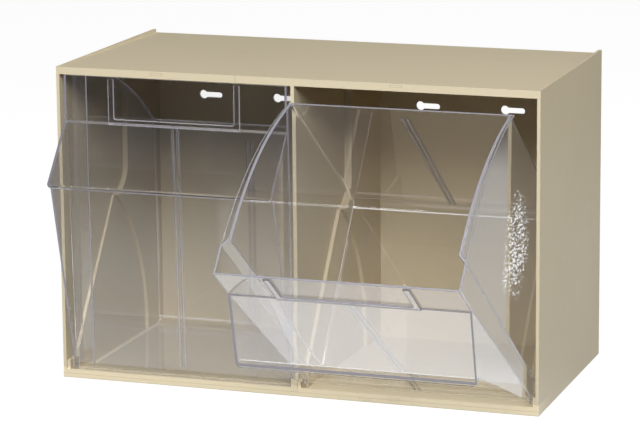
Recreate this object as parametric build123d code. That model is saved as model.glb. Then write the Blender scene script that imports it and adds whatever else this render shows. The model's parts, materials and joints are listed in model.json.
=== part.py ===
"""Two tilt-out bins in a wall rack: an open-fronted cabinet with a centre divider, and two clear
bins that swing forward on stub pins at their lower front corners.  Millimetres, Z up, front at -Y.
The pieces are drawn with Y = 0 on the cabinet's front plane, and then moved back half the depth,
so that the origin ends at the middle of the base.  The left bin is shut, the right one is open."""
from build123d import *
from math import cos, radians, sin, sqrt
import os

# cabinet
WIDTH, DEPTH, HEIGHT = 600.0, 300.0, 384.0
SIDE_DRAFT = 4.5          # each outer side leans in this much towards the back
WALL = 4.0                # side plates and back
DIVIDER = 4.5             # centre divider at the front
TOP_RAIL = 9.0            # height of the rail over the opening
RAIL_DEPTH = 4.0
TOP_SHEET = 3.5
TOP_FALL = 4.0            # the top falls this much to the rear between the level side rims
FLOOR_TOP = 4.0
SILL_HEIGHT, SILL_LIP = 10.0, 3.2
SILL_LINE, SILL_STEP = 5.2, 0.6      # fine line along the sill's face
GROOVE_END, GROOVE_FLOOR = 12.5, 2.2
RIDGE_WIDTH, RIDGE_TOP = 2.5, 6.2

# pivot and tilt
PIVOT_Y, PIVOT_Z = 14.0, 14.0
TILT = 54.0
PIN_R = 3.0
PIN_CLEARANCE = 0.05
POST_TOP, POST_FRONT, POST_BACK = 21.0, 2.5, 26.0
POST_GAP, PIN_END_GAP = 1.3, 1.2     # between a bin's side and its post, and the pin and the wall

# stepped inner walls, as half widths measured from a bin's centre
BIN_CENTRE = 149.1        # distance of each bin's centre from the cabinet's
OPENING_HALF = BIN_CENTRE - DIVIDER / 2
FIRST_LEDGE_HALF = 142.3
SECOND_LEDGE_HALF = 137.7
LEDGE_ANGLE = 54.4        # slope of the long ledge, which points at the pivot
LEDGE_END_Z = 198.0
LEDGE_ARC_R = 226.0       # second ledge, round the pivot
LEDGE_TURN_R = 37.0       # the first ledge turns upright on this radius
LEDGE_FOOT_ANGLE = -3.0   # the second ledge starts this far below the pivot's level
DIVIDER_SKIN = 3.0        # the divider's thick rear part is hollow inside this skin

# keyholes in the back, heads on one line
KEYHOLE_Z = 303.0
KEYHOLE_X = (-226.0, -126.0, 64.0, 174.0)
KEYHOLE_HEAD_R, KEYHOLE_SLOT_R, KEYHOLE_RUN = 5.75, 3.65, 22.0

# bin, in the shut position and centred on X = 0
BIN_WALL = 2.5
FRONT_HALF = 141.7        # wide part behind the front
TUB_HALF_TOP, TUB_HALF_FLOOR = 133.0, 130.7
JOG_START, JOG_END = 36.0, 45.0
JOG_LEAN = 0.4            # how far the inner jog lies ahead of the outer one, per wall
HOLLOW_RISE = 40.0        # the hollow is drawn this far past the top
TUB_OVERLAP = 4.0         # the rear box is drawn this far into the wide front part
BIN_FLOOR_Z = 5.0
BIN_BACK_Y = 259.5
STRIP_TOP_Z, WIDE_TOP_Z = 374.5, 372.0
FOLD_Z = 320.0            # the upright label strip ends here and the hood begins
FRONT_FOOT = (13.65, BIN_FLOOR_Z)
FOOT_R, HEEL_R = 12.0, 13.0
SWEEP_R = 357.0           # top edge of the sides, an arc round the pivot
FLANGE_START_HALF, FLANGE_END_HALF = 141.0, 134.5
FLANGE_START_Y = JOG_START + 6.0
FLAT_HALF = TUB_HALF_FLOOR - HEEL_R      # flat middle of the floor and back
HEEL_TOP_Z = BIN_FLOOR_Z + HEEL_R        # the rounded foot and heel end by this height
BOSS_R, BOSS_SHEET = 5.5, 3.2

# pull hood
HOOD_HALF = 141.0
HOOD_SHEET = 2.7
HOOD_LIP = (-60.0, 249.0)
LEDGE_LIP = (-50.0, 246.6)
LEDGE_LIP_SLANT = 0.6
CHEEK_START = (-48.2, 247.5)
CHEEK_FOOT = (10.0, 22.0)
CHEEK_SHEET = 2.5
HOOD_CORNER_R, HOOD_CORNER_DEPTH = 5.5, 9.0
HOOD_LENGTH = sqrt(HOOD_LIP[0] ** 2 + (FOLD_Z - HOOD_LIP[1]) ** 2)

# label frame and divider ribs
LABEL_HALF, LABEL_INNER_HALF = 84.0, 76.0
LABEL_FOOT_Z, LABEL_INNER_FOOT_Z = 316.5, 324.0
LABEL_PROUD, LABEL_CORNER_R, LABEL_TOP_GAP = 1.6, 5.0, 2.0
REAR_RIB_OFFSET, REAR_RIB_WIDTH, REAR_RIB_Z = 3.0, 2.7, (10.0, 252.0)
FRONT_RIB_OFFSET, FRONT_RIB_WIDTH, FRONT_RIB_Z = 3.2, 3.4, (20.0, 316.0)
RIB_PROUD, RIB_ROOT = 1.6, 1.0

NEAR = 0.01               # edges this close to a plane count as in it


def slab(outline, half_width):
    """A Y-Z outline drawn out evenly to both sides of X = 0."""
    return extrude(Plane.YZ * make_face(Polyline(*outline, close=True)), half_width, both=True)


def plan_prism(outline, low, high):
    """An X-Y outline drawn up from one height to another."""
    return extrude(Pos(0, 0, low) * make_face(Polyline(*outline, close=True)), high - low)


def between(shape, x_low, x_high):
    """The part of a shape between two upright planes across X."""
    size = 1200.0
    return shape & Pos((x_low + x_high) / 2, 0, 0) * Box(x_high - x_low, size, size)


def on_pivot(radius, angle):
    """The Y-Z point at a radius and an angle round the pivot."""
    return (PIVOT_Y + radius * cos(radians(angle)), PIVOT_Z + radius * sin(radians(angle)))


def pivot_cylinder(radius, length):
    """A cylinder along X, centred on the pivot."""
    return Pos(0, PIVOT_Y, PIVOT_Z) * Rot(0, 90, 0) * Cylinder(radius, length)


# ---- cabinet ----

def inner_side_x(y):
    """Half width between the side plates at a depth."""
    return WIDTH / 2 - WALL - SIDE_DRAFT * y / DEPTH


def bay_plan(front, back):
    """Plan of the space between the drafted side plates."""
    return [(-inner_side_x(front), front), (inner_side_x(front), front),
            (inner_side_x(back), back), (-inner_side_x(back), back)]


def top_underside():
    """Y-Z points along the underside of the top, from the back to the front."""
    return [(DEPTH, HEIGHT - TOP_FALL - TOP_SHEET), (RAIL_DEPTH, HEIGHT - TOP_SHEET),
            (RAIL_DEPTH, HEIGHT - TOP_RAIL), (0, HEIGHT - TOP_RAIL)]


def under_top():
    """All the space below the cabinet's top."""
    return slab([(0, 0), (DEPTH, 0)] + top_underside(), WIDTH)


def cabinet_top():
    """Sheet that falls to the rear, with a deep rail over the opening."""
    side = [(0, HEIGHT), (DEPTH, HEIGHT - TOP_FALL)] + top_underside()
    return slab(side, WIDTH) & plan_prism(bay_plan(0, DEPTH), 0, HEIGHT)


def cabinet_floor():
    """Floor with a raised sill, a drip groove behind it and a low ridge."""
    ridge_end = GROOVE_END + RIDGE_WIDTH
    side = [(0, 0), (DEPTH, 0), (DEPTH, FLOOR_TOP), (ridge_end, FLOOR_TOP), (ridge_end, RIDGE_TOP),
            (GROOVE_END, RIDGE_TOP), (GROOVE_END, GROOVE_FLOOR), (SILL_LIP, GROOVE_FLOOR),
            (SILL_LIP, SILL_HEIGHT), (SILL_STEP, SILL_HEIGHT), (SILL_STEP, SILL_LINE),
            (0, SILL_LINE)]
    return slab(side, WIDTH) & plan_prism(bay_plan(0, DEPTH), 0, HEIGHT)


def ledge_outline(second):
    """Y-Z face of the thicker rear part of an inner wall, behind the first or second ledge."""
    slope = radians(LEDGE_ANGLE)
    reach = (LEDGE_END_Z - PIVOT_Z) / sin(slope)
    corner = on_pivot(reach, LEDGE_ANGLE)
    upright = corner[0] + LEDGE_TURN_R
    middle = (upright - LEDGE_TURN_R * (1 - cos(radians(45))),
              corner[1] + LEDGE_TURN_R * (1 - sin(radians(45))))
    turn = ThreePointArc(corner, middle, (upright, corner[1] + LEDGE_TURN_R))
    back = DEPTH - WALL
    if second:
        foot = on_pivot(LEDGE_ARC_R, LEDGE_FOOT_ANGLE)
        front = ThreePointArc(foot, on_pivot(LEDGE_ARC_R, LEDGE_ANGLE / 2), corner)
        close = Polyline(turn @ 1, (upright, HEIGHT), (back, HEIGHT), (back, 0), (foot[0], 0), foot)
    else:
        low = PIVOT_Z + (POST_BACK - PIVOT_Y) * sin(slope) / cos(slope)
        front = Line((POST_BACK, low), corner)
        close = Polyline(turn @ 1, (upright, HEIGHT), (back, HEIGHT), (back, 0), (POST_BACK, 0),
                         (POST_BACK, low))
    return Plane.YZ * make_face([front, turn, close])


def ledge_block(second, x_low, x_high):
    """Thick rear part of a wall between two X positions."""
    return extrude(Pos(x_low, 0, 0) * ledge_outline(second), x_high - x_low) & under_top()


def side_wall(floor):
    """Right side: a drafted plate with both ledges on its inner face."""
    outer = [(WIDTH / 2, 0), (WIDTH / 2 - SIDE_DRAFT, DEPTH)]
    plate = plan_prism([(inner_side_x(0), 0), outer[0], outer[1], (inner_side_x(DEPTH), DEPTH)],
                       0, HEIGHT)
    first = ledge_block(False, BIN_CENTRE + FIRST_LEDGE_HALF, WIDTH / 2)
    second = ledge_block(True, BIN_CENTRE + SECOND_LEDGE_HALF, WIDTH / 2)
    bay = plan_prism(bay_plan(0, DEPTH), 0, HEIGHT)
    return plate + ((first + second) & bay) - floor


def centre_divider(floor):
    """Divider with the same ledges on both faces, cored from behind."""
    sheet = plan_prism([(-DIVIDER / 2, 0), (DIVIDER / 2, 0), (DIVIDER / 2, DEPTH - WALL),
                        (-DIVIDER / 2, DEPTH - WALL)], 0, HEIGHT)
    first_half = BIN_CENTRE - FIRST_LEDGE_HALF
    second_half = BIN_CENTRE - SECOND_LEDGE_HALF
    body = (sheet & under_top()) + ledge_block(False, -first_half, first_half)
    body += ledge_block(True, -second_half, second_half)
    core_y = on_pivot(LEDGE_ARC_R, 0)[0] + DIVIDER_SKIN
    core_length = DEPTH - WALL - core_y
    core = Pos(0, core_y + core_length / 2, HEIGHT / 2) * Box(
        2 * (second_half - DIVIDER_SKIN), core_length, HEIGHT - 2 * TOP_RAIL)
    return body - core - floor


def keyhole(x):
    """Round head with a narrow slot that runs to the right, through the back."""
    depth = 3 * WALL
    turn = Rot(90, 0, 0)
    end = x + KEYHOLE_RUN
    cut = Pos(x, DEPTH, KEYHOLE_Z) * turn * Cylinder(KEYHOLE_HEAD_R, depth)
    cut += Pos(end, DEPTH, KEYHOLE_Z) * turn * Cylinder(KEYHOLE_SLOT_R, depth)
    return cut + Pos((x + end) / 2, DEPTH, KEYHOLE_Z) * Box(KEYHOLE_RUN, depth, 2 * KEYHOLE_SLOT_R)


def back_panel(floor):
    """Back between the side plates, with the four keyholes."""
    panel = plan_prism(bay_plan(DEPTH - WALL, DEPTH), 0, HEIGHT) & under_top()
    for x in KEYHOLE_X:
        panel -= keyhole(x)
    return panel - floor


def pivot_post(x_low, x_high, floor):
    """Post with an upright slot, open at the top, that a stub pin drops into."""
    length = x_high - x_low
    post = Pos(0, (POST_FRONT + POST_BACK) / 2, POST_TOP / 2) * Box(
        length, POST_BACK - POST_FRONT, POST_TOP)
    slot_r = PIN_R + PIN_CLEARANCE
    post -= pivot_cylinder(slot_r, 2 * length)
    post -= Pos(0, PIVOT_Y, PIVOT_Z + POST_TOP / 2) * Box(2 * length, 2 * slot_r, POST_TOP)
    return Pos((x_low + x_high) / 2, 0, 0) * post - floor


# ---- bin ----

def wide_form(inset):
    """Front of the tub: upright strip, sloping wall below it, and the jog in to the tub.
    An inset gives the hollow inside, which runs on past the top."""
    half = FRONT_HALF - inset
    jog_shift = JOG_LEAN * inset
    plan = [(-half, 0), (half, 0), (half, JOG_START - jog_shift),
            (TUB_HALF_TOP - inset, JOG_END - jog_shift),
            (inset - TUB_HALF_TOP, JOG_END - jog_shift), (-half, JOG_START - jog_shift)]
    jog_top = PIVOT_Z + sqrt(SWEEP_R ** 2 - (JOG_END - PIVOT_Y) ** 2)
    rise = HOLLOW_RISE if inset else 0.0
    floor_z = BIN_FLOOR_Z + inset
    side = [(inset, STRIP_TOP_Z + rise), (inset, FOLD_Z), (FRONT_FOOT[0] + inset, floor_z),
            (JOG_END, floor_z), (JOG_END, jog_top + rise), (JOG_START, WIDE_TOP_Z + rise)]
    body = slab(side, WIDTH)
    foot = body.edges().filter_by(Axis.X).filter_by(
        lambda edge: abs(edge.center().Z - floor_z) < NEAR and edge.center().Y < JOG_START)
    body = fillet(foot, FOOT_R - inset)
    return body & plan_prism(plan, 0, HEIGHT + 2 * rise)


def tub_form(inset):
    """Rear of the tub: a drafted box with rounded heel, floor edges and back corners."""
    top_z = STRIP_TOP_Z + (HOLLOW_RISE if inset else 0.0)
    draft = (TUB_HALF_TOP - TUB_HALF_FLOOR) / (STRIP_TOP_Z - BIN_FLOOR_Z)
    floor_z = BIN_FLOOR_Z + inset
    front, back = JOG_START - TUB_OVERLAP, BIN_BACK_Y - inset

    def section(z):
        half = TUB_HALF_FLOOR + draft * (z - BIN_FLOOR_Z) - inset
        return Pos(0, (front + back) / 2, z) * Rectangle(2 * half, back - front)

    body = loft([section(floor_z), section(top_z)])
    rounded = body.edges().filter_by(
        lambda edge: edge.center().Z < top_z - NEAR and (
            edge.center().Y > back - NEAR
            or (abs(edge.center().Z - floor_z) < NEAR and abs(edge.center().X) > NEAR)))
    body = fillet(rounded, HEEL_R - inset)
    if inset:
        return body
    return body & pivot_cylinder(SWEEP_R, WIDTH)


def rim_flange():
    """Outward flange along the arc edge of both sides, narrower towards the back."""
    ring = pivot_cylinder(SWEEP_R, WIDTH) - pivot_cylinder(SWEEP_R - BIN_WALL, 2 * WIDTH)
    plan = [(-FLANGE_START_HALF, FLANGE_START_Y), (FLANGE_START_HALF, FLANGE_START_Y),
            (FLANGE_END_HALF, BIN_BACK_Y - HEEL_R), (-FLANGE_END_HALF, BIN_BACK_Y - HEEL_R)]
    return ring & plan_prism(plan, FOLD_Z / 2, HEIGHT)


def front_rib(x):
    """Upright rib on the inside of the sloping front wall."""
    low, high = FRONT_RIB_Z
    foot_y = FRONT_FOOT[0]

    def wall_y(z):
        return foot_y * (FOLD_Z - z) / (FOLD_Z - FRONT_FOOT[1]) + BIN_WALL

    side = [(wall_y(low) - RIB_ROOT, low), (wall_y(low) + RIB_PROUD, low),
            (wall_y(high) + RIB_PROUD, high), (wall_y(high) - RIB_ROOT, high)]
    return Pos(x, 0, 0) * slab(side, FRONT_RIB_WIDTH / 2)


def rear_rib(x):
    """Upright rib on the inside of the back wall."""
    low, high = REAR_RIB_Z
    inner = BIN_BACK_Y - BIN_WALL
    side = [(inner - RIB_PROUD, low), (inner + RIB_ROOT, low),
            (inner + RIB_ROOT, high), (inner - RIB_PROUD, high)]
    return Pos(x, 0, 0) * slab(side, REAR_RIB_WIDTH / 2)


def pivot_bosses():
    """Round eyes at the foot of the tub's sides, which carry the stub pins."""
    disc = pivot_cylinder(BOSS_R, 2 * FRONT_HALF)
    return disc - pivot_cylinder(BOSS_R + 1, 2 * (FRONT_HALF - BOSS_SHEET))


def front_zone():
    """The front wall's own thickness, above the rounded foot."""
    inner_rise = FOLD_Z - BIN_FLOOR_Z - BIN_WALL
    foot_y = BIN_WALL + FRONT_FOOT[0] * (FOLD_Z - HEEL_TOP_Z) / inner_rise
    outline = [(-BIN_WALL, HEIGHT), (BIN_WALL, HEIGHT), (BIN_WALL, FOLD_Z),
               (foot_y, HEEL_TOP_Z), (-BIN_WALL, HEEL_TOP_Z)]
    return slab(outline, WIDTH)


def tub_walls():
    """The clear tub as its front, back, floor and two sides, which meet face to face."""
    hollow = wide_form(BIN_WALL) + tub_form(BIN_WALL)
    shell = wide_form(0) + tub_form(0) + rim_flange() - hollow
    bosses = pivot_bosses()
    front = (shell & front_zone()) - bosses
    rest = shell - front_zone()
    middle = between(rest, -FLAT_HALF, FLAT_HALF)
    foot = Pos(0, 0, HEEL_TOP_Z - HEIGHT) * Box(WIDTH, 2 * WIDTH, 2 * HEIGHT)
    back = middle - foot
    for sign in (-1, 1):
        front += front_rib(sign * FRONT_RIB_OFFSET)
        back += rear_rib(sign * REAR_RIB_OFFSET)
    return {
        "front_wall": front,
        "back_wall": back,
        "floor": (middle & foot) - back,
        "left_side": between(rest, -WIDTH, -FLAT_HALF) + between(bosses, -WIDTH, 0),
        "right_side": between(rest, FLAT_HALF, WIDTH) + between(bosses, 0, WIDTH),
    }


def hood_point(along, inward):
    """A Y-Z point by its distance down the hood's face and in from it."""
    down = (HOOD_LIP[0] / HOOD_LENGTH, (HOOD_LIP[1] - FOLD_Z) / HOOD_LENGTH)
    return (down[0] * along - down[1] * inward, FOLD_Z + down[1] * along + down[0] * inward)


def hood_corner_cut(sign):
    """What rounds a lower corner of the hood, square to its face."""
    y, z = hood_point(HOOD_LENGTH - HOOD_CORNER_R, 0)
    face = Plane(origin=(sign * (HOOD_HALF - HOOD_CORNER_R), y, z), x_dir=(sign, 0, 0),
                 z_dir=(0, HOOD_LIP[1] - FOLD_Z, -HOOD_LIP[0]))
    outside = Pos(HOOD_CORNER_R, -sign * HOOD_CORNER_R) * Rectangle(
        2 * HOOD_CORNER_R, 2 * HOOD_CORNER_R) - Circle(HOOD_CORNER_R)
    return extrude(face * outside, HOOD_CORNER_DEPTH, both=True)


def pull_hood():
    """Sloping hood that stands out over the front, its turned-in lip, and the two side cheeks."""
    panel = slab([hood_point(0, 0), HOOD_LIP, hood_point(HOOD_LENGTH, HOOD_SHEET),
                  hood_point(-HOOD_SHEET, HOOD_SHEET)], HOOD_HALF)
    lip = slab([HOOD_LIP, LEDGE_LIP, (LEDGE_LIP[0] + LEDGE_LIP_SLANT, LEDGE_LIP[1] + HOOD_SHEET),
                (HOOD_LIP[0] + HOOD_SHEET, HOOD_LIP[1] + HOOD_SHEET)], HOOD_HALF)
    cheek_side = [(0, FOLD_Z), HOOD_LIP, CHEEK_START, CHEEK_FOOT, (PIVOT_Y - BOSS_R, PIVOT_Z),
                  (PIVOT_Y + BOSS_R, PIVOT_Z)]
    plates = slab(cheek_side, HOOD_HALF) - slab(cheek_side, HOOD_HALF - CHEEK_SHEET)
    hood = panel + lip + plates
    for sign in (-1, 1):
        hood -= hood_corner_cut(sign)
    return hood - wide_form(0) - tub_form(0) - pivot_bosses()


def label_frame(hood):
    """Raised frame, open at the top, that holds a label on the upright strip."""
    height = STRIP_TOP_Z - LABEL_FOOT_Z - LABEL_TOP_GAP
    outer = Pos(0, 0, LABEL_FOOT_Z + height / 2) * Box(2 * LABEL_HALF, 2 * LABEL_PROUD, height)
    window = Pos(0, LABEL_INNER_FOOT_Z + height / 2) * Rectangle(2 * LABEL_INNER_HALF, height)
    window = fillet(window.vertices().sort_by(Axis.Y)[:2], LABEL_CORNER_R)
    cut = extrude(Plane.XZ * window, 4 * LABEL_PROUD, both=True)
    return outer - cut - wide_form(0) - hood


def stub_pin(sign):
    """Pin on the outside of a bin's side, which turns in its post."""
    length = OPENING_HALF - FRONT_HALF - PIN_END_GAP
    x = sign * (FRONT_HALF + length / 2)
    return Pos(x, 0, 0) * pivot_cylinder(PIN_R, length)


def bin_pieces(name):
    """One bin, shut, as its named pieces."""
    hood = pull_hood()
    parts = tub_walls()
    parts.update({
        "pull_hood": hood,
        "label_frame": label_frame(hood),
        "left_pivot_pin": stub_pin(-1),
        "right_pivot_pin": stub_pin(1),
    })
    return {name + "_" + part: shape for part, shape in parts.items()}


def cabinet_pieces():
    """The cabinet's walls and the four pivot posts."""
    top, floor = cabinet_top(), cabinet_floor()
    right = side_wall(floor)
    pieces = {
        "cabinet_top": top,
        "cabinet_floor": floor,
        "cabinet_right_side": right,
        "cabinet_left_side": mirror(right, Plane.YZ),
        "cabinet_back": back_panel(floor),
        "centre_divider": centre_divider(floor),
    }
    post_half = FRONT_HALF + POST_GAP
    for label, centre in (("left", -BIN_CENTRE), ("right", BIN_CENTRE)):
        for sign, side in ((-1, "left"), (1, "right")):
            near, far = centre + sign * post_half, centre + sign * OPENING_HALF
            post = pivot_post(min(near, far), max(near, far), floor)
            for wall in ("cabinet_right_side", "cabinet_left_side", "centre_divider"):
                post -= pieces[wall]
            pieces["%s_bin_%s_pivot_post" % (label, side)] = post
    return pieces


def main():
    pieces = cabinet_pieces()
    for label, centre, angle in (("left_bin", -BIN_CENTRE, 0.0), ("right_bin", BIN_CENTRE, TILT)):
        for node, shape in bin_pieces(label).items():
            turned = shape.rotate(Axis((0, PIVOT_Y, PIVOT_Z), (1, 0, 0)), angle)
            pieces[node] = Pos(centre, 0, 0) * turned
    os.makedirs("parts", exist_ok=True)
    for node, shape in pieces.items():
        export_step(Pos(0, -DEPTH / 2, 0) * shape, "parts/%s.step" % node)
        print(node)


main()
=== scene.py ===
import json
from math import cos, radians, sin

import bmesh
import bpy
import numpy as np
from mathutils import Matrix, Vector

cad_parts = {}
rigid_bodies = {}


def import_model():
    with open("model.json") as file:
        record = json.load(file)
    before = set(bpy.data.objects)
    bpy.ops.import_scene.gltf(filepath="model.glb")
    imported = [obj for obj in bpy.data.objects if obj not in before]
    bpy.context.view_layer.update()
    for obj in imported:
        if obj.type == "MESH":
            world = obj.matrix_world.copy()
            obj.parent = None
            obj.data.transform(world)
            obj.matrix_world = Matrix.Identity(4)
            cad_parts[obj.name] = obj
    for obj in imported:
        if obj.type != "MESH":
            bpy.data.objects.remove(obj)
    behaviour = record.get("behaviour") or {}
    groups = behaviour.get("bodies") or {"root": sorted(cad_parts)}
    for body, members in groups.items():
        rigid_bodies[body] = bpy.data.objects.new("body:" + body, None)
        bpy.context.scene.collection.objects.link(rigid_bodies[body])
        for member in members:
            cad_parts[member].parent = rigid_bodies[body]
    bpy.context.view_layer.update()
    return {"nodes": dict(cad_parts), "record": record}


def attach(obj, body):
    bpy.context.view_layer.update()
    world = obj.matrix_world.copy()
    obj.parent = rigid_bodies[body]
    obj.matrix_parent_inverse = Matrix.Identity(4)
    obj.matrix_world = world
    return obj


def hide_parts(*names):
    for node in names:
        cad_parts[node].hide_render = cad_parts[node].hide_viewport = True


for old in list(bpy.data.objects):
    bpy.data.objects.remove(old)
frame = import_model()
scene = bpy.context.scene
print("frame loaded:", len(frame["nodes"]), "nodes")


def newMaterial(name):
    material = bpy.data.materials.new(name)
    material.use_nodes = True
    tree = material.node_tree
    tree.nodes.clear()
    output = tree.nodes.new("ShaderNodeOutputMaterial")
    return material, tree, output


def addNode(tree, kind, settings=None, inputs=None):
    # inputs are linked where they are sockets, and set where they are values
    node = tree.nodes.new(kind)
    for key, value in (settings or {}).items():
        setattr(node, key, value)
    for key, value in (inputs or {}).items():
        if isinstance(value, bpy.types.NodeSocket):
            tree.links.new(value, node.inputs[key])
        else:
            node.inputs[key].default_value = value
    return node


def maths(tree, operation, first, second=0.5, clamp=False):
    node = addNode(tree, "ShaderNodeMath", {"operation": operation, "use_clamp": clamp},
                   {0: first, 1: second})
    return node.outputs[0]


def product(tree, first, second):
    return maths(tree, "MULTIPLY", first, second)


def largest(tree, values):
    total = values[0]
    for value in values[1:]:
        total = maths(tree, "MAXIMUM", total, value)
    return total


def within(tree, value, centre, reach):
    # 1 where the value is no farther than reach from centre
    return addNode(tree, "ShaderNodeMath", {"operation": "COMPARE"},
                   {0: value, 1: centre, 2: reach}).outputs[0]


def remap(tree, value, low, high, newLow, newHigh):
    node = addNode(tree, "ShaderNodeMapRange", None,
                   {0: value, 1: low, 2: high, 3: newLow, 4: newHigh})
    return node.outputs[0]


def mixColours(tree, factor, first, second, blend="MIX"):
    node = addNode(tree, "ShaderNodeMix", {"data_type": "RGBA", "blend_type": blend},
                   {0: factor, 6: first, 7: second})
    return node.outputs[2]


def timesLevel(tree, colour, level):
    # a colour made lighter or darker by a level that changes over the surface
    grey = addNode(tree, "ShaderNodeCombineColor", None, {0: level, 1: level, 2: level})
    return mixColours(tree, 1.0, colour, grey.outputs[0], "MULTIPLY")


def mixShaders(tree, factor, first, second):
    return addNode(tree, "ShaderNodeMixShader", None,
                   {0: factor, 1: first.outputs[0], 2: second.outputs[0]})


def objectPlace(tree):
    return addNode(tree, "ShaderNodeTexCoord").outputs["Object"]


def noise(tree, place, scale, detail=2.0):
    return addNode(tree, "ShaderNodeTexNoise", None,
                   {"Vector": place, "Scale": scale, "Detail": detail}).outputs[0]


def stretchedNoise(tree, place, scales, detail):
    stretch = addNode(tree, "ShaderNodeMapping", None, {"Vector": place, "Scale": scales})
    return noise(tree, stretch.outputs[0], 1.0, detail)


def offCentre(tree, place, centre, halfSizes):
    # distance from a centre counted in half sizes, so it is 1 on the skin of an ellipsoid
    shift = addNode(tree, "ShaderNodeVectorMath", {"operation": "SUBTRACT"},
                    {0: place, 1: centre}).outputs[0]
    shift = addNode(tree, "ShaderNodeVectorMath", {"operation": "DIVIDE"},
                    {0: shift, 1: halfSizes}).outputs[0]
    return addNode(tree, "ShaderNodeVectorMath", {"operation": "LENGTH"},
                   {0: shift}).outputs["Value"]


def newGroup(name, inputs, outputs):
    # a shader node group with named sockets
    group = bpy.data.node_groups.new(name, "ShaderNodeTree")
    for socketName, kind, value in inputs:
        socket = group.interface.new_socket(socketName, in_out="INPUT", socket_type=kind)
        socket.default_value = value
    for socketName, kind in outputs:
        group.interface.new_socket(socketName, in_out="OUTPUT", socket_type=kind)
    return group, group.nodes.new("NodeGroupInput"), group.nodes.new("NodeGroupOutput")


def useGroup(tree, group, inputs):
    return addNode(tree, "ShaderNodeGroup", {"node_tree": group}, inputs)


# scales are noise features per metre; the rub grows from none to full over the rubbed range
grainForm = {"driftScale": 7.0, "driftDetail": 3.0, "pebbleScale": 900.0, "pebbleDetail": 2.0,
             "streakScales": (5.0, 40.0, 60.0), "streakDetail": 4.0, "rubbed": (0.55, 0.75)}


def makeMouldedGrain():
    # satin grain of moulded plastic: a fine pebble, slow tone drift and rubbed streaks
    group, start, end = newGroup(
        "mouldedGrain",
        [("Colour", "NodeSocketColor", (0.8, 0.8, 0.8, 1)), ("Drift", "NodeSocketFloat", 0.04),
         ("Roughness", "NodeSocketFloat", 0.45), ("Rub", "NodeSocketFloat", 0.06)],
        [("Colour", "NodeSocketColor"), ("Roughness", "NodeSocketFloat"),
         ("Height", "NodeSocketFloat")])
    place = objectPlace(group)
    slow = noise(group, place, grainForm["driftScale"], grainForm["driftDetail"])
    pebble = noise(group, place, grainForm["pebbleScale"], grainForm["pebbleDetail"])
    streak = stretchedNoise(group, place, grainForm["streakScales"], grainForm["streakDetail"])
    drift = product(group, maths(group, "SUBTRACT", slow, 0.5), start.outputs["Drift"])
    colour = timesLevel(group, start.outputs["Colour"], maths(group, "ADD", drift, 1.0))
    rub = product(group, remap(group, streak, *grainForm["rubbed"], 0.0, 1.0),
                  start.outputs["Rub"])
    rough = maths(group, "SUBTRACT", start.outputs["Roughness"], rub)
    group.links.new(colour, end.inputs["Colour"])
    group.links.new(rough, end.inputs["Roughness"])
    group.links.new(pebble, end.inputs["Height"])
    return group


# places on the cabinet in metres; gates and seam are X and Z on its front edges, and the sill
# line is a Z; the last three set painted light on the floor just behind the sill: the heights it
# spans, the Y over which it fades out, and how much lighter it makes the floor
marksAndLitFloor = {"frontY": -0.15, "frontReach": 0.0015, "lineHalf": 0.0005,
         "gates": ((-0.171, 0.3805), (0.127, 0.3810), (0.0875, 0.0030), (0.1235, 0.0055)),
         "gateHalf": (0.0075, 0.0016), "seam": (-0.071, 0.379), "seamHalf": 0.005,
         "sillLine": 0.0052, "sillHalf": 0.00045,
         "dimple": (0.3, -0.0934, 0.3651), "dimpleRadius": 0.0016,
         "smudge": (-0.169, 0.0245, 0.006), "smudgeHalf": (0.0085, 0.024, 0.004),
         "ringMiddle": 0.85, "ringHalf": 0.15, "wearScale": 220.0, "worn": (0.42, 0.62),
         "depth": 0.25, "litFloorHeights": (0.001, 0.013), "litFloorRun": (-0.145, -0.09), "paintedLight": 0.25}


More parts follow.
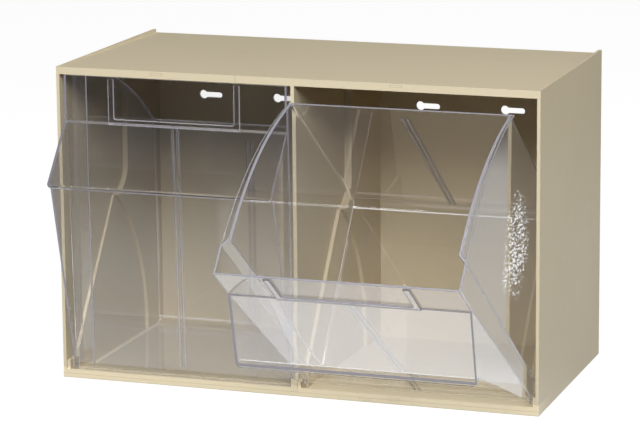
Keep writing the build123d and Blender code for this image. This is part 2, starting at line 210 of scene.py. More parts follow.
def makeMouldMarksAndLitFloor():
    # traces of the mould on the beige plastic: gate marks and a seam on the rails, a fine line
    # along the sill, an ejector dimple on the right side and a rubbed ring on the floor; and painted
    # light that makes the floor just behind the sill paler
    group, start, end = newGroup("mouldMarksAndLitFloor", [("Colour", "NodeSocketColor", (0.8, 0.8, 0.8, 1))],
                                 [("Colour", "NodeSocketColor")])
    place = objectPlace(group)
    apart = addNode(group, "ShaderNodeSeparateXYZ", None, {0: place})
    x, y, z = (apart.outputs[axis] for axis in "XYZ")

    def box(centre, halfX, halfZ):
        return product(group, within(group, x, centre[0], halfX), within(group, z, centre[1], halfZ))

    # a gate mark is a frame whose upright strokes are twice as thick as its level ones
    (gateX, gateZ), line = marksAndLitFloor["gateHalf"], marksAndLitFloor["lineHalf"]
    lines = [box(marksAndLitFloor["seam"], line, marksAndLitFloor["seamHalf"]),
             within(group, z, marksAndLitFloor["sillLine"], marksAndLitFloor["sillHalf"])]
    lines += [maths(group, "SUBTRACT", box(gate, gateX, gateZ),
                    box(gate, gateX - 2 * line, gateZ - line)) for gate in marksAndLitFloor["gates"]]
    onFront = product(group, largest(group, lines),
                      within(group, y, marksAndLitFloor["frontY"], marksAndLitFloor["frontReach"]))
    offDimple = offCentre(group, place, marksAndLitFloor["dimple"], [marksAndLitFloor["dimpleRadius"]] * 3)
    offSmudge = offCentre(group, place, marksAndLitFloor["smudge"], marksAndLitFloor["smudgeHalf"])
    worn = remap(group, noise(group, place, marksAndLitFloor["wearScale"]), *marksAndLitFloor["worn"], 0.0, 1.0)
    ring = product(group, within(group, offSmudge, marksAndLitFloor["ringMiddle"], marksAndLitFloor["ringHalf"]), worn)
    total = largest(group, [onFront, maths(group, "LESS_THAN", offDimple, 1.0), ring])
    level = remap(group, total, 0.0, 1.0, 1.0, 1.0 - marksAndLitFloor["depth"])
    # painted light: the floor just behind the sill is made paler, fading out further back
    foot, top = marksAndLitFloor["litFloorHeights"]
    onFloor = product(group, maths(group, "LESS_THAN", z, top),
                      maths(group, "GREATER_THAN", z, foot))
    paintedLight = product(group, onFloor, remap(group, y, *marksAndLitFloor["litFloorRun"], marksAndLitFloor["paintedLight"], 0.0))
    colour = timesLevel(group, start.outputs["Colour"], maths(group, "ADD", level, paintedLight))
    group.links.new(colour, end.inputs["Colour"])
    return group


beige = {"colour": (0.70, 0.61, 0.43, 1), "bounceColour": (0.45, 0.36, 0.21, 1), "ior": 1.5,
         "drift": 0.05, "roughness": 0.46, "rub": 0.08, "grainDepth": 0.00004, "bumpStrength": 0.35}


def makeBeigePlastic(grain, mouldMarksAndLitFloor):
    material, tree, output = newMaterial("beigePlastic")
    finish = useGroup(tree, grain, {"Colour": beige["colour"], "Drift": beige["drift"],
                                    "Roughness": beige["roughness"], "Rub": beige["rub"]})
    # the painted light on the floor behind the sill comes in with the mould marks
    markedAndLit = useGroup(tree, mouldMarksAndLitFloor, {"Colour": finish.outputs["Colour"]})
    # light thrown from wall to wall comes off a darker tone, which keeps the inside deep brown
    path = addNode(tree, "ShaderNodeLightPath")
    colour = mixColours(tree, path.outputs["Is Diffuse Ray"], markedAndLit.outputs["Colour"],
                        beige["bounceColour"])
    bump = addNode(tree, "ShaderNodeBump", None,
                   {"Strength": beige["bumpStrength"], "Distance": beige["grainDepth"],
                    "Height": finish.outputs["Height"]})
    shader = addNode(tree, "ShaderNodeBsdfPrincipled", None,
                     {"Base Color": colour, "Roughness": finish.outputs["Roughness"],
                      "Normal": bump.outputs[0], "IOR": beige["ior"]})
    tree.links.new(shader.outputs[0], output.inputs[0])
    return material


# more than trappedDepth bounces, or trappedTurns mirrorings, count as caught inside a sheet and
# end on a painted glow; edgeFacing is where the painted highlight on faces seen nearly along
# their plane starts and is strongest
clear = {"tint": (0.985, 0.984, 0.99, 1), "roughness": 0.02, "ior": 1.57,
         "passTint": (0.945, 0.945, 0.945, 1), "trappedGlowColour": (0.26, 0.25, 0.28, 1),
         "trappedDepth": 9.5, "trappedTurns": 1.5, "edgeFacing": (0.86, 1.0),
         "edgeHighlightShare": 0.7, "edgeHighlightColour": (0.72, 0.70, 0.78, 1)}
# the roughened patches on the open bin's right side, where white specks are painted glints:
# centre and half sizes in metres; a speck fades in over the specks range of its noise, which
# drops by thinBy from thinFrom to the edge
stippleGlints = {"patches": (((0.2822, -0.178, 0.208), (0.004, 0.056, 0.068)),
                       ((0.2822, -0.2265, 0.182), (0.004, 0.013, 0.022))),
           "speckScales": (1.0, 170.0, 480.0), "speckDetail": 1.0, "specks": (0.53, 0.57),
           "thinFrom": 0.6, "thinBy": 0.1, "most": 0.9, "level": 0.9}


def glintShare(tree, patch):
    # how far a point is a painted glint: specks of noise inside the patches, sparser at their edges
    place = objectPlace(tree)
    away = maths(tree, "MINIMUM", *(offCentre(tree, place, *oval) for oval in patch["patches"]))
    speck = stretchedNoise(tree, place, patch["speckScales"], patch["speckDetail"])
    speck = maths(tree, "SUBTRACT", speck,
                  remap(tree, away, patch["thinFrom"], 1.0, 0.0, patch["thinBy"]))
    return product(tree, maths(tree, "LESS_THAN", away, 1.0),
                   remap(tree, speck, *patch["specks"], 0.0, patch["most"]))


def makeClearPlastic(name, patch=None):
    # glass that lamps and soft light pass straight through; light caught inside a sheet, which
    # makes the edges of the real one glow, ends on a painted glow of pale violet grey instead of
    # black
    material, tree, output = newMaterial(name)
    glass = addNode(tree, "ShaderNodeBsdfPrincipled", None,
                    {"Base Color": clear["tint"], "Roughness": clear["roughness"],
                     "IOR": clear["ior"], "Transmission Weight": 1.0})
    through = addNode(tree, "ShaderNodeBsdfTransparent", None, {"Color": clear["passTint"]})
    # painted glow for light caught inside a sheet
    glow = addNode(tree, "ShaderNodeEmission", None, {"Color": clear["trappedGlowColour"]})
    path = addNode(tree, "ShaderNodeLightPath")
    caught = largest(tree, [
        maths(tree, "GREATER_THAN", path.outputs["Ray Depth"], clear["trappedDepth"]),
        maths(tree, "GREATER_THAN", path.outputs["Glossy Depth"], clear["trappedTurns"])])
    # painted highlight: faces that are seen nearly along their plane are mixed towards a pale
    # diffuse colour, as the real one's edges catch light
    facing = addNode(tree, "ShaderNodeLayerWeight").outputs["Facing"]
    edgeHighlight = remap(tree, facing, *clear["edgeFacing"], 0.0, clear["edgeHighlightShare"])
    # the pale diffuse of the painted edge highlight
    paintedLight = addNode(tree, "ShaderNodeBsdfDiffuse", None, {"Color": clear["edgeHighlightColour"]})
    body = mixShaders(tree, edgeHighlight, glass, paintedLight)
    # the roughened patches get painted glints of white emission
    if patch:
        glint = addNode(tree, "ShaderNodeEmission", None, {"Strength": patch["level"]})
        body = mixShaders(tree, glintShare(tree, patch), body, glint)
    body = mixShaders(tree, caught, body, glow)
    passing = largest(tree, [path.outputs["Is Shadow Ray"], path.outputs["Is Diffuse Ray"]])
    tree.links.new(mixShaders(tree, passing, body, through).outputs[0], output.inputs[0])
    return material


# painted light: the rims' violet grey stands for light the real sheet's edges pipe from inside, and
# the pale lines are painted highlights
frostedRimPaintedLight = {"colour": (0.58, 0.57, 0.62, 1), "roughness": 0.25, "through": 0.6}
paintedHighlightLine = {"colour": (0.97, 0.96, 0.98, 1), "roughness": 0.25, "through": 0.25}


def makeRimPlastic(name, settings):
    # the narrow edges of the sheets, slightly frosted, whose colour is painted light for what they
    # collect from inside the sheet; and the painted highlight lines in the tub's rounds
    material, tree, output = newMaterial(name)
    shader = addNode(tree, "ShaderNodeBsdfPrincipled", None,
                     {"Base Color": settings["colour"], "Roughness": settings["roughness"],
                      "IOR": clear["ior"], "Transmission Weight": settings["through"]})
    tree.links.new(shader.outputs[0], output.inputs[0])
    return material


def dress(nodeName, material):
    mesh = frame["nodes"][nodeName].data
    mesh.materials.clear()
    mesh.materials.append(material)


# fitted to the cabinet's seven visible corners; metres from the middle of its base, and degrees
viewpoint = {"place": (1.2468, -3.6336, 1.0253), "yaw": -19.21, "pitch": -12.42, "roll": -0.51,
             "focalPixels": 3215.5, "imageWidth": 640, "sensor": 36.0, "farClip": 50}


def makeCamera():
    data = bpy.data.cameras.new("camera")
    camera = bpy.data.objects.new("camera", data)
    scene.collection.objects.link(camera)
    yaw, pitch, roll = (radians(viewpoint[name]) for name in ("yaw", "pitch", "roll"))
    ahead = Vector((sin(yaw) * cos(pitch), cos(yaw) * cos(pitch), sin(pitch)))
    level = Vector((cos(yaw), -sin(yaw), 0))
    upright = level.cross(ahead)
    right = level * cos(roll) + upright * sin(roll)
    up = upright * cos(roll) - level * sin(roll)
    turn = Matrix((right, up, -ahead)).transposed().to_4x4()
    camera.matrix_world = Matrix.Translation(viewpoint["place"]) @ turn
    data.sensor_width = viewpoint["sensor"]
    data.lens = viewpoint["focalPixels"] * viewpoint["sensor"] / viewpoint["imageWidth"]
    data.clip_end = viewpoint["farClip"]
    scene.camera = camera


# glossStops are how white the floor looks in a gloss at each Y; the brown card is a band of the
# floor that runs back from the rack's left corner: cardX is its middle where Y is 0, and
# cardSlant is how far it drifts left for each metre back
studio = {"floorSize": 12.0, "floorColour": (0.14, 0.14, 0.14, 1), "floorWhite": 0.94,
          "mirroredColour": (0.03, 0.03, 0.03, 1), "glossSpan": (-1.0, 2.0),
          "glossStops": ((-0.95, 0.03), (-0.55, 0.59), (-0.42, 0.62), (-0.32, 0.72),
                         (-0.12, 0.72), (0.1, 0.41), (1.2, 0.39), (1.52, 0.02)),
          "glossGain": 1.6, "cardColour": (0.20, 0.175, 0.145, 1), "cardX": -0.38,
          "cardSlant": 0.448, "cardHalf": 0.1, "cardY": 0.62, "cardHalfLength": 0.8,
          "skyLight": 0.02, "skyColour": (1.0, 0.99, 0.97, 1), "roomGlow": 0.04,
          "lampsAim": (0, 0, 0.18)}
lamps = {"key": {"place": (1.3, -3.1, 2.6), "size": (2.6, 1.8), "power": 149.0, "inGloss": True},
         "front": {"place": (-1.0, -3.3, 2.3), "size": (2.2, 1.6), "power": 37.0, "inGloss": False},
         "above": {"place": (0.3, -1.5, 3.2), "size": (1.6, 1.6), "power": 27.0, "inGloss": True},
         "side": {"place": (3.2, 0.4, 1.0), "size": (1.2, 1.2), "power": 28.0, "inGloss": True}}


def addLamp(name, settings):
    data = bpy.data.lights.new(name, "AREA")
    data.shape = "RECTANGLE"
    data.size, data.size_y = settings["size"]
    data.energy = settings["power"]
    lamp = bpy.data.objects.new(name, data)
    scene.collection.objects.link(lamp)
    lamp.location = settings["place"]
    lamp.visible_glossy = lamp.visible_transmission = settings["inGloss"]
    ahead = Vector(studio["lampsAim"]) - Vector(settings["place"])
    lamp.rotation_euler = ahead.to_track_quat("-Z", "Y").to_euler()


def isMirrored(tree):
    # 1 once the line of sight has been mirrored
    return maths(tree, "GREATER_THAN",
                 addNode(tree, "ShaderNodeLightPath").outputs["Glossy Depth"], 0.5)


def seenLevel(tree, glossLevel):
    # 1 for what the eye sees straight or through glass, glossLevel for what it sees in a gloss,
    # and 0 for the soft light that falls on things
    path = addNode(tree, "ShaderNodeLightPath")
    seen = maths(tree, "ADD", path.outputs["Is Camera Ray"], path.outputs["Is Glossy Ray"])
    seen = maths(tree, "ADD", seen, path.outputs["Is Transmission Ray"], clamp=True)
    return product(tree, seen, remap(tree, isMirrored(tree), 0.0, 1.0, 1.0, glossLevel))


def makeWorld():
    # white to the eye, and a dim room in glosses
    world = bpy.data.worlds.new("world")
    scene.world = world
    world.use_nodes = True
    tree = world.node_tree
    tree.nodes.clear()
    light = addNode(tree, "ShaderNodeBackground", None,
                    {0: studio["skyColour"], 1: studio["skyLight"]})
    white = addNode(tree, "ShaderNodeBackground", None,
                    {0: (1, 1, 1, 1), 1: seenLevel(tree, studio["roomGlow"])})
    both = addNode(tree, "ShaderNodeAddShader", None, {0: light.outputs[0], 1: white.outputs[0]})
    output = addNode(tree, "ShaderNodeOutputWorld")
    tree.links.new(both.outputs[0], output.inputs[0])


def glossLevelAlong(tree, y):
    # the white paper that glosses show, as a ramp over the floor's Y
    near, far = studio["glossSpan"]
    ramp = addNode(tree, "ShaderNodeValToRGB", None, {0: remap(tree, y, near, far, 0.0, 1.0)})
    stops = ramp.color_ramp.elements
    for count, (stopY, level) in enumerate(studio["glossStops"]):
        at = (stopY - near) / (far - near)
        stop = stops.new(at) if count else stops[0]
        stop.position, stop.color = at, (level, level, level, 1)
    stops.remove(stops[-1])  # the ramp's own white end
    return product(tree, ramp.outputs[0], studio["glossGain"])


def makeFloor():
    half = studio["floorSize"] / 2
    mesh = bpy.data.meshes.new("floor")
    mesh.from_pydata([(-half, -half, 0), (half, -half, 0), (half, half, 0), (-half, half, 0)],
                     [], [(0, 1, 2, 3)])
    floor = bpy.data.objects.new("floor", mesh)
    scene.collection.objects.link(floor)
    material, tree, output = newMaterial("paleFloor")
    # grey paper that takes light and shadow, plus the white that is only seen
    paper = addNode(tree, "ShaderNodeBsdfDiffuse", None,
                    {0: mixColours(tree, isMirrored(tree), studio["floorColour"],
                                   studio["mirroredColour"])})
    apart = addNode(tree, "ShaderNodeSeparateXYZ", None, {0: objectPlace(tree)})
    x, y = apart.outputs["X"], apart.outputs["Y"]
    white = product(tree, seenLevel(tree, glossLevelAlong(tree, y)), studio["floorWhite"])
    # the brown card shows only through the clear sheets
    aside = maths(tree, "ADD", x, product(tree, y, studio["cardSlant"]))
    onCard = product(tree, within(tree, aside, studio["cardX"], studio["cardHalf"]),
                     within(tree, y, studio["cardY"], studio["cardHalfLength"]))
    onCard = product(tree, onCard,
                     addNode(tree, "ShaderNodeLightPath").outputs["Is Transmission Ray"])
    tone = mixColours(tree, onCard, (1, 1, 1, 1), studio["cardColour"])
    bright = addNode(tree, "ShaderNodeEmission", None, {0: tone, 1: white})
    both = addNode(tree, "ShaderNodeAddShader", None, {0: paper.outputs[0], 1: bright.outputs[0]})
    tree.links.new(both.outputs[0], output.inputs[0])
    mesh.materials.append(material)


# a bin is drawn in millimetres, shut and centred: X across, Y back from the cabinet's front, Z up;
# names that end in Steps count the points along a stretch, the evenly spaced ones up the back
# end at backShare of its height, and hold is a short straight that keeps flats flat beside rounds
tub = {"wall": 2.5, "frontHalf": 141.7, "halfTop": 133.0, "halfFloor": 130.7,
       "jogStart": 36.0, "jogEnd": 45.0, "jogLean": 0.4, "floor": 5.0, "back": 259.5,
       "stripTop": 374.5, "wideTop": 372.0, "fold": 320.0, "footSetBack": 13.65,
       "footRound": 12.0, "heelRound": 13.0, "sideRound": 6.0, "frontRound": 1.5,
       "leastRound": 0.4, "hold": 0.4, "sweep": 357.0, "rimRound": 0.6, "sharpAngle": 25,
       "footSteps": 9, "heelSteps": 12, "wallSteps": 8, "backSteps": 7, "backShare": 0.9,
       "roundSteps": 8, "jogSteps": 8, "rimSteps": 26}
hinge = {"y": 14.0, "z": 14.0, "tilt": 54.0, "binCentre": 149.1, "halfDepth": 150.0}


def placeInBin(points, side):
    # turn about the hinge if this is the open bin, move to the bin's middle, then to metres
    angle = radians(hinge["tilt"]) if side == "right" else 0.0
    centre = hinge["binCentre"] if side == "right" else -hinge["binCentre"]
    x = points[..., 0] + centre
    y, z = points[..., 1] - hinge["y"], points[..., 2] - hinge["z"]
    turnedY = y * cos(angle) - z * sin(angle) + hinge["y"] - hinge["halfDepth"]
    turnedZ = y * sin(angle) + z * cos(angle) + hinge["z"]
    return np.stack([x, turnedY, turnedZ], axis=-1) / 1000


def gridFaces(rows, columns, closed):
    # the quads of a grid of points, whose last column joins the first if it is closed
    index = np.arange(rows * columns).reshape(rows, columns)
    beside = np.roll(index, -1, axis=1)
    if not closed:
        index, beside = index[:, :-1], beside[:, :-1]
    return np.stack([index[:-1], beside[:-1], beside[1:], index[1:]], axis=-1).reshape(-1, 4)


def makePiece(name, points, faces, side, materials, nodes=()):
    mesh = bpy.data.meshes.new(name)
    mesh.from_pydata(placeInBin(points, side).reshape(-1, 3), [], faces)
    mesh.validate()
    mesh.shade_smooth()
    for material in materials:
        mesh.materials.append(material)
    piece = bpy.data.objects.new(name, mesh)
    scene.collection.objects.link(piece)
    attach(piece, side + "_bin")
    if nodes:
        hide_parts(*[side + "_bin_" + node for node in nodes])
    return piece


edges = {"segments": 2, "leastTurn": 38}


def roundEdges(piece, radius):
    # only edges that turn by leastTurn or more are rounded
    bevel = piece.modifiers.new("edges", "BEVEL")
    bevel.width = radius / 1000
    bevel.segments = edges["segments"]
    bevel.limit_method = "ANGLE"
    bevel.angle_limit = radians(edges["leastTurn"])
    bevel.harden_normals = True


def frontY(z):
    # the front wall is upright above the fold and slopes back below it
    drop = np.clip((tub["fold"] - z) / (tub["fold"] - tub["floor"]), 0, 1)
    return tub["footSetBack"] * drop


def sweepZ(y):
    # the rim of sides and back lies on a circle round the hinge
    return hinge["z"] + np.sqrt(tub["sweep"] ** 2 - (y - hinge["y"]) ** 2)


def rimZ(y):
    # the rim falls gently over the wide front part, then down the jog to the sweep circle
    fall = (tub["wideTop"] - tub["stripTop"]) / tub["jogStart"]
    share = (y - tub["jogStart"]) / (tub["jogEnd"] - tub["jogStart"])
    jog = tub["wideTop"] + (sweepZ(tub["jogEnd"]) - tub["wideTop"]) * share
    return np.where(y < tub["jogStart"], tub["stripTop"] + fall * y,
                    np.where(y < tub["jogEnd"], jog, sweepZ(np.maximum(y, tub["jogEnd"]))))


def jogSpan(inset):
    # where the jog starts and ends; the inner skin's lies a little ahead of the outer one's
    return [tub[name] - tub["jogLean"] * inset for name in ("jogStart", "jogEnd")]


def sideFaceX(y, z, inset):
    # from the bin's middle to the face of its side, which steps in over the jog
    lean = (z - tub["floor"]) / (tub["stripTop"] - tub["floor"])
    half = tub["halfFloor"] + (tub["halfTop"] - tub["halfFloor"]) * lean
    start, end = jogSpan(inset)
    share = np.clip((y - start) / (end - start), 0, 1)
    return tub["frontHalf"] + (half - tub["frontHalf"]) * share - inset


def arc(centreY, centreZ, radius, first, last, steps):
    # points round a centre, and the angle of their outward direction down from the front
    angle = np.linspace(first, last, steps)
    return centreY - radius * np.cos(angle), centreZ - radius * np.sin(angle), angle


def straight(y, z, angle):
    y, z = np.broadcast_arrays(np.asarray(y, float), np.asarray(z, float))
    return y, z, np.full(y.shape, angle)


def tubOutline(inset):
    # the bin's middle section, from the top of the front round the floor to the top of the back:
    # points and outward directions, the radius of the round that leads into the sides, and the
    # row at which the jog starts
    slope = np.arctan2(tub["footSetBack"], tub["fold"] - tub["floor"])
    foot, heel, hold = tub["footRound"], tub["heelRound"], tub["hold"]
    footZ = tub["floor"] + foot
    footY = frontY(footZ) + foot / np.cos(slope)  # the round touches front wall and floor
    heelY, heelZ = tub["back"] - heel, tub["floor"] + heel
    footArc = arc(footY, footZ, foot, slope, np.pi / 2, tub["footSteps"])
    heelArc = arc(heelY, heelZ, heel, np.pi / 2, np.pi, tub["heelSteps"])
    frontZ = np.linspace(tub["fold"] - hold, footArc[1][0] + hold, tub["wallSteps"])
    start, end = jogSpan(inset)
    floorY = np.concatenate([[footY + hold, start],
                             np.linspace(end, heelY - hold, tub["wallSteps"])])
    rimHeight = sweepZ(tub["back"])
    backZ = np.append(np.linspace(heelZ + hold, tub["backShare"] * rimHeight, tub["backSteps"]),
                      rimHeight)
    runs = [straight(0.0, [tub["stripTop"], tub["fold"]], 0.0),
            straight(frontY(frontZ), frontZ, slope), footArc,
            straight(floorY, tub["floor"], np.pi / 2), heelArc,
            straight(tub["back"], backZ, np.pi)]
    y, z, angle = (np.concatenate(column) for column in zip(*runs))
    outward = np.stack([-np.cos(angle), -np.sin(angle)], axis=-1)
    rounds = np.where(y < start - hold, tub["frontRound"], tub["sideRound"])
    jogRow = sum(len(run[0]) for run in runs[:3]) + 1
    return np.stack([y, z], axis=-1) - inset * outward, outward, rounds, jogRow


def tubSurface(inset):
    # the tub's skin, shrunk by inset: the strip over front, floor and back with its rounds into
    # the sides, and the points of the side faces' jog lines and top edges
    outline, outward, radius, jogRow = tubOutline(inset)
    radius = np.maximum(radius - inset, tub["leastRound"])[:, None]
    bend = np.linspace(0, np.pi / 2, tub["roundSteps"])
    # along a half cross section: how far in from the side's face, and how far in from the skin
    fromSide = np.concatenate([[1.0], 1 - np.sin(bend), [0.0]]) * radius
    fromSide[:, 0] += tub["hold"]
    fromSkin = np.concatenate([[0.0], 1 - np.cos(bend), [1.0]]) * radius
    fromSkin[:, -1] += tub["hold"]
    place = outline[:, None] - fromSkin[..., None] * outward[:, None]
    y, z = place[..., 0], place[..., 1]
    z[0], z[-1] = rimZ(y[0]), rimZ(y[-1])
    right = np.stack([sideFaceX(y, z, inset) - fromSide, y, z], axis=-1)
    middle = np.stack([np.zeros(len(outline)), y[:, 0], z[:, 0]], axis=-1)[:, None]
    strip = np.concatenate([right[:, ::-1] * (-1, 1, 1), middle, right], axis=1)

    # lines up the jog, foot to rim, and the rim from the jog's end back to the strip
    lines = []
    for step, lineY in enumerate(jogSpan(inset)):
        lineZ = np.linspace(z[jogRow + step, -1], rimZ(np.array(lineY)), tub["jogSteps"])[1:]
        lines.append((np.full(len(lineZ), lineY), lineZ))
    rimY = np.linspace(jogSpan(inset)[1], y[-1, -1], tub["rimSteps"])[1:-1]
    lines.append((rimY, rimZ(rimY)))
    sides = [np.stack([sideFaceX(lineY, lineZ, inset), lineY, lineZ], axis=-1)
             for lineY, lineZ in lines]
    return strip, sides, jogRow


def tubFaces(strip, sides, jogRow):
    # faces of one skin over its points: the strip's grid, then both sides' points
    rows, columns = strip.shape[:2]
    index = np.arange(rows * columns).reshape(rows, columns)
    faces = gridFaces(rows, columns, False)[:, ::-1].tolist()
    points = [strip.reshape(-1, 3)]
    total = rows * columns
    rims = []
    for hand, edge in ((1, index[:, -1].tolist()), (-1, index[:, 0].tolist())):
        ids = []
        for sideLine in sides:
            points.append(sideLine * (hand, 1, 1))
            ids.append(list(range(total, total + len(sideLine))))
            total += len(sideLine)
        jogStart, jogEnd, rim = ids
        first, second = [edge[jogRow]] + jogStart, [edge[jogRow + 1]] + jogEnd
        group = [edge[:jogRow + 1] + jogStart, edge[jogRow + 1:] + rim[::-1] + jogEnd[::-1]]
        group += [[first[i], second[i], second[i + 1], first[i + 1]]
                  for i in range(len(first) - 1)]
        faces += [face if hand > 0 else face[::-1] for face in group]
        rims.append([jogStart[-1], jogEnd[-1]] + rim)
    # once round the rim: over the front, back along the right side, over the back, and forward
    loop = index[0].tolist() + rims[0] + index[-1, ::-1].tolist() + rims[1][::-1]
    return np.concatenate(points), faces, loop


def highlightLineFaces(strip, jogRow):
    # painted highlight lines where light collects in the inner rounds: up the middle of the corners
    # between the walls, and along both ends of the heel's round
    rows, columns = strip.shape[0] - 1, strip.shape[1] - 1
    row, column = np.divmod(np.arange(rows * columns), columns)
    corner = tub["roundSteps"] // 2
    heelLast = rows - tub["backSteps"] - 2
    heelFirst = heelLast - tub["heelSteps"] + 2
    inCorner = (column == corner) | (column == columns - 1 - corner)
    return (inCorner & (row > jogRow)) | (row == heelFirst) | (row == heelLast)


def makeTubShell(side, materials):
    # an outer and an inner skin, joined along the rim; materials: skin, rim, painted highlight lines
    outer, outerFaces, outerLoop = tubFaces(*tubSurface(0.0))
    strip, sides, jogRow = tubSurface(tub["wall"])
    inner, innerFaces, innerLoop = tubFaces(strip, sides, jogRow)
    count = len(outer)
    faces = outerFaces + [[corner + count for corner in face[::-1]] for face in innerFaces]
    outside, inside = np.array(outerLoop), np.array(innerLoop) + count
    rimFaces = np.stack([outside, np.roll(outside, -1), np.roll(inside, -1), inside], axis=-1)
    shell = makePiece(side + "BinTub", np.concatenate([outer, inner]),
                      faces + rimFaces.tolist(), side, materials,
                      ["front_wall", "back_wall", "floor", "left_side", "right_side"])
    index = np.zeros(len(shell.data.polygons), dtype=np.int32)
    index[len(faces):] = 1
    highlighted = highlightLineFaces(strip, jogRow)
    index[len(outerFaces):len(outerFaces) + len(highlighted)] = 2 * highlighted
    shell.data.polygons.foreach_set("material_index", index)
    shell.data.set_sharp_from_angle(angle=radians(tub["sharpAngle"]))
    roundEdges(shell, tub["rimRound"])


# hold is a share of the corner's radius
bead = {"hold": 0.08, "roundSteps": 3, "sharpAngle": 60}


def roundedRing(width, height, radius, steps=bead["roundSteps"]):
    # a rectangle with rounded corners as a closed ring of points; the short straight at each end
    # of a corner keeps the flats flat in the shading; width may hold one value per path point
    width = np.atleast_1d(np.asarray(width, float))[:, None]
    turn = np.linspace(0, np.pi / 2, steps)
    hold = bead["hold"] * radius
    arcA = np.concatenate([[radius], radius * np.cos(turn), [-hold]])
    arcB = np.concatenate([[-hold], radius * np.sin(turn), [radius]])
    a = np.concatenate([arcA, -arcA[::-1], -arcA, arcA[::-1]])[None]
    b = np.concatenate([arcB, arcB[::-1], -arcB, -arcB[::-1]])[None]
    count = len(arcA)
    signA = np.repeat([1, -1, -1, 1], count)[None]
    signB = np.repeat([1, 1, -1, -1], count)[None]
    return np.stack([signA * (width / 2 - radius) + a,
                     np.broadcast_to(signB * (height / 2 - radius) + b,
                                     (len(width), 4 * count))], axis=-1)


def makeBead(name, side, path, across, upward, ring, materials, nodes=()):
    # a section carried along a path: every path point carries the ring, laid out along the two
    # directions across and upward, and both ends are closed; materials: the two broad flats and
    # the ends, then all the rest
    across = np.broadcast_to(np.asarray(across, float), path.shape)
    upward = np.broadcast_to(np.asarray(upward, float), path.shape)
    points = (path[:, None] + ring[..., 0:1] * across[:, None]
              + ring[..., 1:2] * upward[:, None])
    count = ring.shape[1]
    faces = gridFaces(len(path), count, True)
    ends = [list(range(count))[::-1], list(range((len(path) - 1) * count, len(path) * count))]
    # outwards: turned over where across, upward and the path's way make a left-handed set
    way = path[1] - path[0]
    if np.dot(np.cross(across[0], upward[0]), way) < 0:
        faces, ends = faces[:, ::-1], [end[::-1] for end in ends]
    piece = makePiece(name, points, faces.tolist() + ends, side, materials, nodes)
    place = np.arange(len(faces)) % count
    flat = (place == count // 4 - 1) | (place == 3 * count // 4 - 1)
    index = np.append(np.where(flat, 0, 1), [0, 0]).astype(np.int32)
    piece.data.polygons.foreach_set("material_index", index)
    piece.data.set_sharp_from_angle(angle=radians(bead["sharpAngle"]))


# a gap, here and below, keeps a piece's faces from lying on the tub's
flange = {"startHalf": 141.0, "endHalf": 134.5, "sheet": 2.5, "startY": 42.0, "gap": 0.04,
          "round": 0.6, "runSteps": 40, "endSteps": 8}


def makeFlange(side, hand, materials):
    # the outward flange along a side's arc rim, narrower towards the back, where it runs on
    # past the side's round to the plane of the back wall
    radius = tub["sideRound"]
    cornerY = tub["back"] - radius
    corner = cornerY + radius * np.sin(np.linspace(0, np.pi / 2, flange["endSteps"]))
    y = np.concatenate([np.linspace(flange["startY"], cornerY, flange["runSteps"]),
                        corner[1:] - flange["gap"]])
    share = (y - flange["startY"]) / (tub["back"] - flange["startY"])
    outer = flange["startHalf"] + (flange["endHalf"] - flange["startHalf"]) * share
    angle = np.arccos((y - hinge["y"]) / tub["sweep"])
    radial = np.stack([np.zeros_like(y), np.cos(angle), np.sin(angle)], axis=-1)
    z = hinge["z"] + tub["sweep"] * np.sin(angle)
    past = np.clip((y - cornerY) / radius, 0, 1)
    inner = sideFaceX(y, z, 0.0) - radius * (1 - np.sqrt(1 - past ** 2)) + flange["gap"]
    centre = np.stack([hand * (inner + outer) / 2, y, z], axis=-1)
    ring = roundedRing(outer - inner, flange["sheet"], flange["round"])
    makeBead(side + "BinFlange" + ("Right" if hand > 0 else "Left"), side,
             centre - radial * flange["sheet"] / 2, (1, 0, 0), radial, ring, materials)


ribs = {"frontOffset": 3.2, "frontWidth": 3.4, "frontZ": (20.0, 316.0), "rearOffset": 3.0,
        "rearWidth": 2.9, "rearZ": (17.5, 252.0), "proud": 1.6, "gap": 0.04, "round": 0.75,
        "steps": 12}


def makeRibs(side, materials):
    # pairs of upright beads down the inside of the front and of the back wall
    standOff = ribs["proud"] / 2 + ribs["gap"]
    for hand, handName in ((-1, "Left"), (1, "Right")):
        for end in ("front", "rear"):
            z = np.linspace(*ribs[end + "Z"], ribs["steps"])
            y = (frontY(z) + tub["wall"] + standOff if end == "front"
                 else np.full_like(z, tub["back"] - tub["wall"] - standOff))
            path = np.stack([np.full_like(z, hand * ribs[end + "Offset"]), y, z], axis=-1)
            ring = roundedRing(ribs[end + "Width"], ribs["proud"], ribs["round"])
            makeBead(side + "Bin" + end.capitalize() + "Rib" + handName, side, path,
                     (1, 0, 0), (0, 1, 0), ring, materials)


label = {"half": 84.0, "innerHalf": 76.0, "foot": 316.5, "innerFoot": 324.0, "top": 372.0,
         "innerRound": 2.0, "clearance": 1.0, "proud": 2.1, "gap": 0.04, "round": 1.0,
         "roundSteps": 4, "downSteps": 6, "cornerSteps": 9, "footSteps": 10}


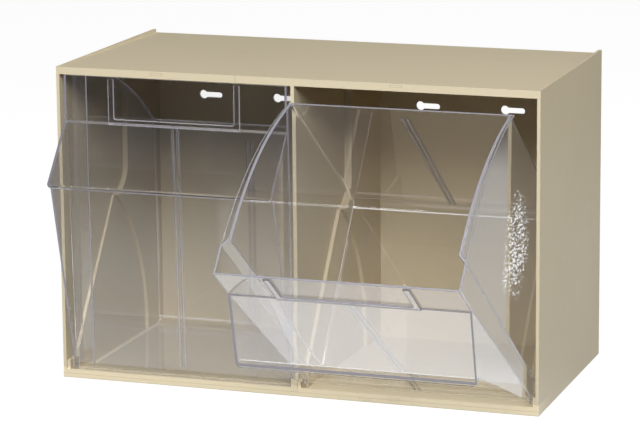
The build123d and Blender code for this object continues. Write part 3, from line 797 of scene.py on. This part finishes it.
def makeLabelFrame(side, materials):
    # a low bead down one side of the label's place, along its foot and up the other side; its
    # corners are round on the inside and square on the outside, where the bead reaches from the
    # round's centre as far as the square's sides
    halfBead = (label["half"] - label["innerHalf"]) / 2
    out, foot = label["half"] - halfBead, (label["foot"] + label["innerFoot"]) / 2
    radius = label["innerRound"] + halfBead
    turn = np.linspace(0, np.pi / 2, label["cornerSteps"])
    inward = np.stack([np.cos(turn), np.sin(turn)], axis=-1)
    reach = (radius + halfBead) / np.maximum(np.cos(turn), np.sin(turn))
    middle = (reach + label["innerRound"]) / 2
    corner = (radius - out, foot + radius) - middle[:, None] * inward
    # the straight stretches stop a clearance short of the corners
    short = radius + label["clearance"]
    downCount, footCount = label["downSteps"], label["footSteps"]
    down = np.stack([np.full(downCount, -out),
                     np.linspace(label["top"], foot + short, downCount)], axis=-1)
    along = np.stack([np.linspace(short - out, out - short, footCount),
                      np.full(footCount, foot)], axis=-1)
    # each stretch's points, its directions across the bead and its widths, left half first
    left = np.concatenate([down, corner])
    leftAcross = np.concatenate([np.tile([1.0, 0.0], (downCount, 1)), inward])
    leftWidth = np.append(np.full(downCount, 2 * halfBead), reach - label["innerRound"])
    flat = np.concatenate([left, along, left[::-1] * (-1, 1)])
    across = np.concatenate([leftAcross, np.tile([0.0, 1.0], (footCount, 1)),
                             leftAcross[::-1] * (-1, 1)])
    width = np.concatenate([leftWidth, np.full(footCount, 2 * halfBead), leftWidth[::-1]])
    path = np.insert(flat, 1, -label["proud"] / 2 - label["gap"], axis=1)
    ring = roundedRing(width, label["proud"], label["round"], label["roundSteps"])
    makeBead(side + "BinLabelFrame", side, path, np.insert(across, 1, 0.0, axis=1),
             (0, -1, 0), ring, materials, ["label_frame"])


# an edge face of the hood is no wider than edgeWidth and longer than edgeLength, in metres
hood = {"edgeWidth": 0.0029, "edgeLength": 0.012, "mergeWithin": 1e-5, "flatAngle": 1,
        "sharpAngle": 8, "round": 0.6}


def makeHood(side, materials):
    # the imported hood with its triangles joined, flats merged and edges rounded; materials: the
    # sheets, then their edges
    node = side + "_bin_pull_hood"
    source = frame["nodes"][node]
    mesh = source.data.copy()
    mesh.name = side + "BinHood"
    form = bmesh.new()
    form.from_mesh(mesh)
    bmesh.ops.remove_doubles(form, verts=form.verts, dist=hood["mergeWithin"])
    bmesh.ops.dissolve_limit(form, angle_limit=radians(hood["flatAngle"]), verts=form.verts,
                             edges=form.edges)
    for face in form.faces:
        longest = max(edge.calc_length() for edge in face.edges)
        narrow = face.calc_area() < hood["edgeWidth"] * longest
        face.material_index = int(narrow and longest > hood["edgeLength"])
    form.to_mesh(mesh)
    form.free()
    mesh.materials.clear()
    for material in materials:
        mesh.materials.append(material)
    mesh.shade_smooth()
    piece = bpy.data.objects.new(side + "BinHood", mesh)
    scene.collection.objects.link(piece)
    piece.matrix_world = source.matrix_world
    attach(piece, side + "_bin")
    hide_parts(node)
    mesh.set_sharp_from_angle(angle=radians(hood["sharpAngle"]))
    roundEdges(piece, hood["round"])


beigePlastic = makeBeigePlastic(makeMouldedGrain(), makeMouldMarksAndLitFloor())
clearPlastic = makeClearPlastic("clearPlastic")
glintingStippledPlastic = makeClearPlastic("glintingStippledPlastic", stippleGlints)
rimPlastic = makeRimPlastic("rimPlastic", frostedRimPaintedLight)
highlightLinePlastic = makeRimPlastic("highlightLinePlastic", paintedHighlightLine)
for part in frame["record"]["subparts"]:
    dress(part["node"], beigePlastic if part["material_slot"] == "cabinet_plastic" else clearPlastic)
print("nodes dressed")

edged = [clearPlastic, rimPlastic]
for side, skin in (("left", clearPlastic), ("right", glintingStippledPlastic)):
    makeTubShell(side, [skin, rimPlastic, highlightLinePlastic])
    for hand in (-1, 1):
        makeFlange(side, hand, edged)
    makeRibs(side, edged)
    makeLabelFrame(side, edged)
    makeHood(side, edged)
print("bins made")

makeCamera()
makeWorld()
makeFloor()
for name, settings in lamps.items():
    addLamp(name, settings)
scene.view_settings.view_transform = "Standard"
print("camera and studio made")
